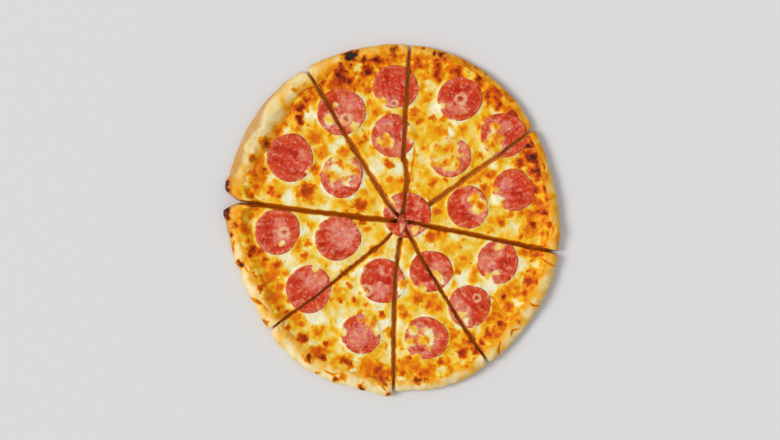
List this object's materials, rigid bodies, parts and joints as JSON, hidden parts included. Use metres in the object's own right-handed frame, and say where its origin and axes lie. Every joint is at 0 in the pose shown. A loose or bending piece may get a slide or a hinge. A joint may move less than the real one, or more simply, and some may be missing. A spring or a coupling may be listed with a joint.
{
  "type": "sliced pepperoni pizza",
  "caption": "Round thin-crust pepperoni pizza with melted cheese and a puffed rim, cut into wedge slices that still lie together as one disc.",
  "frame": {"origin": "below the middle of the pizza's outline, on the plane that it rests on", "axes": "+Z up out of the toppings; +X to the right and +Y up as the pizza is seen from above"},
  "size_m": [0.2941, 0.308, 0.0145],
  "materials": {
    "crust": "matt baked dough, golden with toasted spots",
    "sauce": "moist tomato sauce",
    "cheese": "oily melted cheese with browned blisters",
    "pepperoni": "oily cured sausage"
  },
  "bodies": {
    "root": {"crust_1": "crust", "crust_2": "crust", "crust_3": "crust", "crust_4": "crust", "crust_5": "crust", "crust_6": "crust", "crust_7": "crust", "crust_8": "crust", "sauce_1": "sauce", "sauce_2": "sauce", "sauce_3": "sauce", "sauce_4": "sauce", "sauce_5": "sauce", "sauce_6": "sauce", "sauce_7": "sauce", "sauce_8": "sauce", "cheese_1": "cheese", "cheese_2": "cheese", "cheese_3": "cheese", "cheese_4": "cheese", "cheese_5": "cheese", "cheese_6": "cheese", "cheese_7": "cheese", "cheese_8": "cheese", "pepperoni_01_a": "pepperoni", "pepperoni_01_b": "pepperoni", "pepperoni_02_a": "pepperoni", "pepperoni_02_b": "pepperoni", "pepperoni_03_a": "pepperoni", "pepperoni_03_b": "pepperoni", "pepperoni_04": "pepperoni", "pepperoni_05": "pepperoni", "pepperoni_06": "pepperoni", "pepperoni_07": "pepperoni", "pepperoni_08_a": "pepperoni", "pepperoni_08_b": "pepperoni", "pepperoni_09": "pepperoni", "pepperoni_10": "pepperoni", "pepperoni_11": "pepperoni", "pepperoni_12_a": "pepperoni", "pepperoni_12_b": "pepperoni", "pepperoni_13_a": "pepperoni", "pepperoni_13_b": "pepperoni", "pepperoni_14": "pepperoni", "pepperoni_15_a": "pepperoni", "pepperoni_15_b": "pepperoni", "pepperoni_16": "pepperoni", "pepperoni_17_a": "pepperoni", "pepperoni_17_b": "pepperoni", "pepperoni_18": "pepperoni", "pepperoni_19": "pepperoni", "pepperoni_20_a": "pepperoni", "pepperoni_20_b": "pepperoni", "pepperoni_20_c": "pepperoni", "pepperoni_20_d": "pepperoni", "pepperoni_20_e": "pepperoni", "pepperoni_20_f": "pepperoni"}
  },
  "joints": []
}
